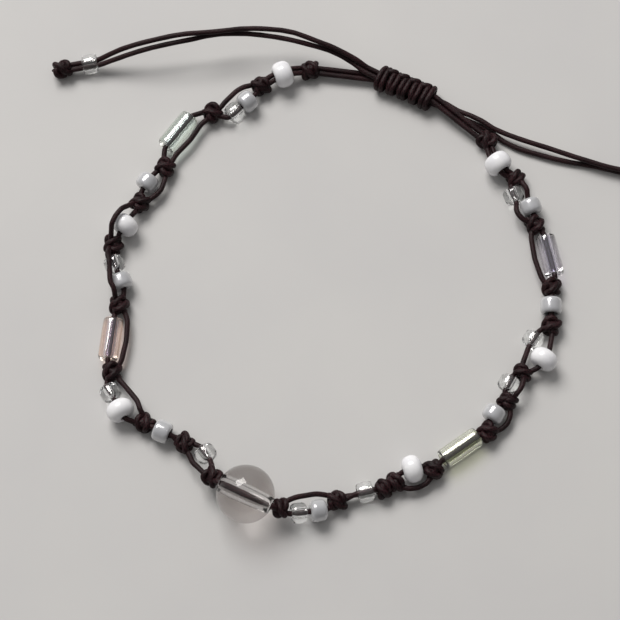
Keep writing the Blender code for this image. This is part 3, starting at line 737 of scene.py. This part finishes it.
def wound_knot(centre, axis, length, width, height, strand, phase):
    """An overhand knot pulled tight: two lumps, each a strand wound twice round the string, on a full core.

    The angle round the string grows by two turns, while the reach in and out and the place along both wave
    three times, so each strand shows as three slanting bands. One lump sits before and beside the other.
    The knot is flat where it lies on the surface."""
    side = unit(np.cross(UP, axis))
    upright = np.cross(axis, side)
    t = np.linspace(0.0, 2 * np.pi, 120, endpoint=False)
    stagger = KNOT_STAGGER * length
    room = width / 2 - strand / 2
    # The core is an ellipse of its own, so that no light shows between the strands.
    core = bead_outline(0.8 * length, 0.7 * height, 0.05 * MM, 1.0, 14)
    surfaces = [turned(core, centre, axis, 16)]
    for sign, lead in ((-1, 0.0), (1, math.pi / 3)):
        angle = 2 * t + lead + phase
        # One side of each lump stands out a little more than the other.
        reach = room * (KNOT_REACH + KNOT_DIVE * np.cos(3 * t)) * (1 + 0.06 * np.sin(t + 1.7 * phase))
        # The wave along has flattened crests, which keep the bands side by side.
        swing = np.sin(3 * t) * (1.3 - 0.3 * np.sin(3 * t) ** 2)
        along = sign * stagger + (length / 2 - 0.4 * strand - stagger) * swing
        lean = sign * KNOT_LEAN * room
        across = reach * np.cos(angle) + lean * math.cos(phase)
        lift = (reach * np.sin(angle) + lean * math.sin(phase)) * height / width
        path = centre + along[:, None] * axis + across[:, None] * side + lift[:, None] * upright
        path[:, 2] = np.maximum(path[:, 2], strand / 2)
        radial = np.cos(angle)[:, None] * side + np.sin(angle)[:, None] * upright
        surfaces.append(tube(path, strand / 2, 12, radial, closed=True))
    return surfaces


def sliding_knot_turns(layout, scene):
    """The closure: doubled turns of cord round the string, with a ridge of bights along its outer edge.

    A turn is a flattened ring round the string. The two strands of a pair draw together at the edges."""
    cord, knots = scene.bracelet_cord, scene.bracelet_knots
    place, heading = heading_at(layout.line, 0.0)
    centre = place + UP * knots.slider_height / 2
    side = unit(np.cross(UP, heading))
    turns = knots.slider_turns
    pitch = knots.slider_length / turns
    strand = min(cord.strand * SLIDER_SWELL, pitch / 2)
    half_width = knots.slider_width / 2 - strand / 2
    half_height = knots.slider_height / 2 - strand / 2
    t = np.linspace(0.0, 2 * np.pi, 90, endpoint=False)
    out = np.sign(np.cos(t)) * np.abs(np.cos(t)) ** RING_CORNER
    rise = np.sign(np.sin(t)) * np.abs(np.sin(t)) ** RING_CORNER
    radial = np.cos(t)[:, None] * side + np.sin(t)[:, None] * UP
    surfaces = []
    for k in range(2 * turns):
        # The end turns stand out from those between them, and their strands draw together less.
        at_end = k in (0, 1, 2 * turns - 2, 2 * turns - 1)
        inset, share, draw = (0.0, 1.0, 0.15) if at_end else (0.12 * MM, 0.93, 0.42)
        spread = (k % 2 - 0.5) * strand * (0.98 - draw * np.cos(t) ** 2)
        middle = (k // 2 + 0.5) * pitch - knots.slider_length / 2
        # Every ring slants the same way, and bends a little in its own.
        along = middle + spread + 0.16 * MM * np.sin(t + 0.9) + 0.05 * MM * np.sin(2 * t + 1.3 * k)
        across = (half_width - inset) * out
        lift = half_height * share * rise
        path = centre + along[:, None] * heading + across[:, None] * side + lift[:, None] * UP
        surfaces.append(tube(path, strand / 2, 14, radial, closed=True))
    return surfaces + ridge_bights(centre, heading, -side, pitch, strand, turns, half_width, half_height)


def ridge_bights(centre, heading, outward, pitch, strand, turns, half_width, half_height):
    """Short thick bights that climb from one pair of turns to the next along the closure's outer edge.

    Each is an arch over one pitch: it draws inward along a straight line and rises as a parabola."""
    share = np.linspace(-1.0, 1.0, 22)
    surfaces = []
    for k in range(turns - 1):
        middle = (k + 1 - turns / 2) * pitch
        along = middle + share * pitch * 0.5
        across = half_width * (0.72 - 0.2 * share)
        lift = half_height * (0.98 - 0.35 * share ** 2)
        path = centre + along[:, None] * heading + across[:, None] * outward + lift[:, None] * UP
        taper = np.sqrt(np.clip(1.02 - share ** 6, 0.02, 1.0))
        surfaces.append(tube(path, strand * 0.5, 14, UP, taper=taper))
    return surfaces


class BraceletOperator:
    bl_options = {"REGISTER", "UNDO"}


class BRACELET_OT_string(BraceletOperator, bpy.types.Operator):
    """Lays the two braided strands through every bead and knot"""
    bl_idname = "bracelet.string"
    bl_label = "Strands"

    def execute(self, context):
        scene = context.scene
        cord = scene.bracelet_cord
        layout = lay_out(scene)
        for side, name in ((OUTER, "strand_outer"), (INNER, "strand_inner")):
            path = softened(strand_route(layout, side, scene), CORD_STEP, CORD_BLUR)
            surface = tube(path, cord.strand / 2, CORD_SIDES, UP)
            make_piece(name, [surface], cord_look(scene), ["knotted_cord"])
        return {"FINISHED"}


class BRACELET_OT_knots(BraceletOperator, bpy.types.Operator):
    """Ties the overhand knots between the beads"""
    bl_idname = "bracelet.knots"
    bl_label = "Overhand knots"

    def execute(self, context):
        scene = context.scene
        cord, knots = scene.bracelet_cord, scene.bracelet_knots
        surfaces = []
        for i, s in enumerate(s for s in lay_out(scene).stations if s.is_knot):
            surfaces += wound_knot(s.centre, s.axis, s.length, knots.width, knots.height,
                                   cord.strand * KNOT_SWELL, KNOT_TURN * i)
        make_piece("overhand_knots", surfaces, cord_look(scene), ["knotted_cord"])
        return {"FINISHED"}


class BRACELET_OT_sliding_knot(BraceletOperator, bpy.types.Operator):
    """Winds the turns of cord of the sliding knot"""
    bl_idname = "bracelet.sliding_knot"
    bl_label = "Sliding knot"

    def execute(self, context):
        scene = context.scene
        surfaces = sliding_knot_turns(lay_out(scene), scene)
        make_piece("sliding_knot_turns", surfaces, cord_look(scene), ["sliding_knot"])
        return {"FINISHED"}


def turned_bead(kind, pair, centre, axis, scene):
    """A bead of one kind, turned from its outline and drilled for one strand or a pair."""
    outline = bead_outline(*piece_size(kind, scene), bore_radius(scene, pair), *BEAD_SHAPES[kind])
    return turned(outline, centre, axis, BEAD_SIDES)


def add_beads(scene, kind, looks):
    """Turns every bead of one kind in its place, and gives each the next of the looks."""
    for i, s in enumerate(s for s in lay_out(scene).stations if s.piece.kind == kind):
        node_name = f"{kind}_bead_{i + 1}"
        surface = turned_bead(kind, s.piece.strand == BOTH, s.centre, s.axis, scene)
        make_piece(f"{node_name}_turned", [surface], looks[i % len(looks)], [node_name])


class BRACELET_OT_white_beads(BraceletOperator, bpy.types.Operator):
    """Turns the opaque white beads"""
    bl_idname = "bracelet.white_beads"
    bl_label = "White beads"

    def execute(self, context):
        scene = context.scene
        add_beads(scene, "white", [white_pressed_glass(scene)])
        return {"FINISHED"}


class BRACELET_OT_pearl_beads(BraceletOperator, bpy.types.Operator):
    """Turns the grey lustre beads"""
    bl_idname = "bracelet.pearl_beads"
    bl_label = "Lustre beads"

    def execute(self, context):
        scene = context.scene
        add_beads(scene, "pearl", [silver_lustre_glass(scene)])
        return {"FINISHED"}


class BRACELET_OT_clear_beads(BraceletOperator, bpy.types.Operator):
    """Turns the clear seed beads of the string"""
    bl_idname = "bracelet.clear_beads"
    bl_label = "Clear beads"

    def execute(self, context):
        scene = context.scene
        add_beads(scene, "clear", [seed_look(scene)])
        return {"FINISHED"}


class BRACELET_OT_bugles(BraceletOperator, bpy.types.Operator):
    """Cuts the long tube beads, each with its own film of colour"""
    bl_idname = "bracelet.bugles"
    bl_label = "Bugle beads"

    def execute(self, context):
        # Core, wall and edge of each coating: silvery green, orange with purple, yellow-green, violet.
        films = (
            ("#d4e4e6", "#f6fcfa", "#f8faec"),
            ("#cdb6dc", "#fdf3f0", "#fbe2c6"),
            ("#dfe3cf", "#fcfdf0", "#eef8e4"),
            ("#b2a9d8", "#faf8fd", "#f6f2f4"),
        )
        looks = [clear_glass(f"iris_coated_glass_{i}", [linear(code) for code in film], 0.03, 1.0)
                 for i, film in enumerate(films, start=1)]
        add_beads(context.scene, "bugle", looks)
        return {"FINISHED"}


class BRACELET_OT_crystal(BraceletOperator, bpy.types.Operator):
    """Turns the large clear ball"""
    bl_idname = "bracelet.crystal"
    bl_label = "Large clear ball"

    def execute(self, context):
        scene = context.scene
        width = scene.bracelet_beads.crystal_width
        ball = next(s for s in lay_out(scene).stations if s.piece.kind == "crystal")
        outline = ball_outline(width, bore_radius(scene, True), BALL_STEPS)
        skin = clear_glass("clear_ball_glass", (scene.bracelet_colours.ball,) * 3, 0.0)
        ground = clear_glass("ground_hole_glass", (linear("#ffffff"),) * 3, 0.14)
        make_piece("crystal_ball_turned", [turned(outline, ball.centre, ball.axis, BALL_SIDES)], skin,
                   ["crystal_bead"], ground, (BALL_STEPS - 1) * BALL_SIDES)
        return {"FINISHED"}


class BRACELET_OT_tails(BraceletOperator, bpy.types.Operator):
    """Lays the four loose tails with their beads and end knots"""
    bl_idname = "bracelet.tails"
    bl_label = "Loose tails"

    def execute(self, context):
        scene = context.scene
        cord, knots, beads = scene.bracelet_cord, scene.bracelet_knots, scene.bracelet_beads
        layout = lay_out(scene)
        place, heading = heading_at(layout.line, 0.0)
        for pair in TAIL_PAIRS:
            face = place + heading * pair.sign * knots.slider_length / 2
            middle, axis = tail_bead_place(face, pair)
            surface = turned_bead("clear", True, middle, axis, scene)
            bead = make_piece(f"tail_bead_{pair.side}_turned", [surface], seed_look(scene),
                              [f"tail_bead_{pair.side}"])
            reach = beads.clear_length / 2 + cord.tail_bead_run + knots.end_length / 2
            end = middle + axis * reach
            surfaces = wound_knot(end, axis, knots.end_length, knots.end_width, knots.end_width,
                                  cord.strand * KNOT_SWELL, END_KNOT_TURN)
            surfaces.append(self.end_tip(end, axis, scene))
            knot = make_piece(f"end_knot_{pair.side}_tied", surfaces, cord_look(scene),
                              [f"end_knot_{pair.side}"])
            for side, label in ((OUTER, "outer"), (INNER, "inner")):
                route = tail_route(layout, pair, side, scene)
                route = np.vstack((route, route[-1] + axis * (cord.end_gap + TAIL_HOLD)))
                path = softened(route, CORD_STEP, CORD_BLUR)
                surface = tube(path, cord.strand / 2, CORD_SIDES, UP)
                name = f"tail_{pair.side}_{label}"
                tail = make_piece(f"{name}_cord", [surface], cord_look(scene), [name])
        return {"FINISHED"}

    def end_tip(self, centre, axis, scene):
        """A stub of cord through the end knot that narrows to a melted point."""
        cord, knots = scene.bracelet_cord, scene.bracelet_knots
        share = np.linspace(0.0, 1.0, 14)
        path = centre + axis * (share[:, None] * (knots.end_length / 2 + TIP_LENGTH))
        taper = np.sqrt(np.clip(1.02 - share ** 2, 0.02, 1.0)) * TIP_SWELL
        return tube(path, cord.strand / 2, CORD_SIDES, UP, taper=taper)


class BRACELET_OT_stage(BraceletOperator, bpy.types.Operator):
    """Sets the pale floor, the soft lights and the camera"""
    bl_idname = "bracelet.stage"
    bl_label = "Floor, lights and camera"

    def execute(self, context):
        scene = context.scene
        stage = scene.bracelet_stage
        base = lay_out(scene).base
        target = np.array((base[0], base[1], 0.0))
        self.add_floor(scene)
        self.add_key(stage, target)
        self.add_world(scene, stage)
        back = np.array((0.0, -math.cos(stage.elevation), math.sin(stage.elevation)))
        data = bpy.data.cameras.new("camera")
        data.sensor_width = SENSOR_WIDTH
        data.lens = SENSOR_WIDTH * stage.focal_pixels / FRAME_PIXELS
        data.clip_start = 0.01
        camera = bpy.data.objects.new("camera", data)
        camera.location = target + back * stage.distance
        camera.rotation_euler = (math.pi / 2 - stage.elevation, 0.0, 0.0)
        scene.collection.objects.link(camera)
        scene.camera = camera
        scene.view_settings.view_transform = "Standard"
        return {"FINISHED"}

    def add_floor(self, scene):
        """A flat square at the height of the surface."""
        mesh = bpy.data.meshes.new("floor")
        corners = [(x * FLOOR_HALF, y * FLOOR_HALF, 0.0) for x, y in ((-1, -1), (1, -1), (1, 1), (-1, 1))]
        mesh.from_pydata(corners, [], [(0, 1, 2, 3)])
        mesh.materials.append(matt_board(scene))
        floor = bpy.data.objects.new("floor", mesh)
        scene.collection.objects.link(floor)

    def add_key(self, stage, target):
        """A large soft light, high up beyond the bracelet and a little to the left."""
        light = bpy.data.lights.new("key", "AREA")
        light.shape = "RECTANGLE"
        light.size, light.size_y = KEY_SIZE
        light.energy = stage.key_power
        light.color = linear("#fffcf8")
        lamp = bpy.data.objects.new("key", light)
        lamp.location = target + unit(KEY_DIRECTION) * KEY_DISTANCE
        lamp.rotation_euler = direction_angles(-unit(KEY_DIRECTION))
        bpy.context.scene.collection.objects.link(lamp)

    def add_world(self, scene, stage):
        """Soft light from all round, brightest on the side of the key light."""
        world = bpy.data.worlds.new("studio")
        world.use_nodes = True
        tree = world.node_tree
        tree.nodes.clear()
        place = node(tree, "TexCoord")
        towards = node(tree, "VectorMath", {0: place.outputs["Generated"], 1: unit(KEY_DIRECTION)},
                       operation="DOT_PRODUCT")
        tone = node(tree, "ValToRGB", {"Fac": towards},
                    ((0.0, linear("#8a8784")), (0.55, linear("#c4c3c2")), (0.95, linear("#ffffff"))))
        sky = node(tree, "Background", {"Color": tone, "Strength": stage.fill})
        node(tree, "OutputWorld", {"Surface": sky})
        scene.world = world


def direction_angles(direction):
    """Euler angles that point an object's -Z along a direction."""
    x, y, z = unit(direction)
    return (math.acos(-z), 0.0, math.atan2(x, -y) + math.pi)


class BRACELET_PT_panel(bpy.types.Panel):
    """Lists the bracelet's settings and the steps that make it"""
    bl_idname = "BRACELET_PT_panel"
    bl_label = "Bracelet"
    bl_space_type = "VIEW_3D"
    bl_region_type = "UI"
    bl_category = "Bracelet"

    def draw(self, context):
        for name in SETTINGS:
            box = self.layout.box()
            settings = getattr(context.scene, name)
            for key in settings.bl_rna.properties.keys():
                if key not in ("rna_type", "name"):
                    box.prop(settings, key)
        for operator in OPERATORS:
            self.layout.operator(operator.bl_idname)


SETTINGS = {
    "bracelet_cord": CordSettings,
    "bracelet_knots": KnotSettings,
    "bracelet_beads": BeadSettings,
    "bracelet_colours": ColourSettings,
    "bracelet_stage": StageSettings,
}
OPERATORS = (
    BRACELET_OT_stage,
    BRACELET_OT_tails,
    BRACELET_OT_string,
    BRACELET_OT_knots,
    BRACELET_OT_sliding_knot,
    BRACELET_OT_white_beads,
    BRACELET_OT_pearl_beads,
    BRACELET_OT_clear_beads,
    BRACELET_OT_bugles,
    BRACELET_OT_crystal,
)


def register():
    for group in (*SETTINGS.values(), *OPERATORS, BRACELET_PT_panel):
        bpy.utils.register_class(group)
    for name, group in SETTINGS.items():
        setattr(bpy.types.Scene, name, bpy.props.PointerProperty(type=group))


def unregister():
    for name in SETTINGS:
        delattr(bpy.types.Scene, name)
    for group in reversed((*SETTINGS.values(), *OPERATORS, BRACELET_PT_panel)):
        bpy.utils.unregister_class(group)


def main():
    register()
    for operator in OPERATORS:
        getattr(bpy.ops.bracelet, operator.bl_idname.split(".")[1])()


if __name__ == "__main__":
    main()
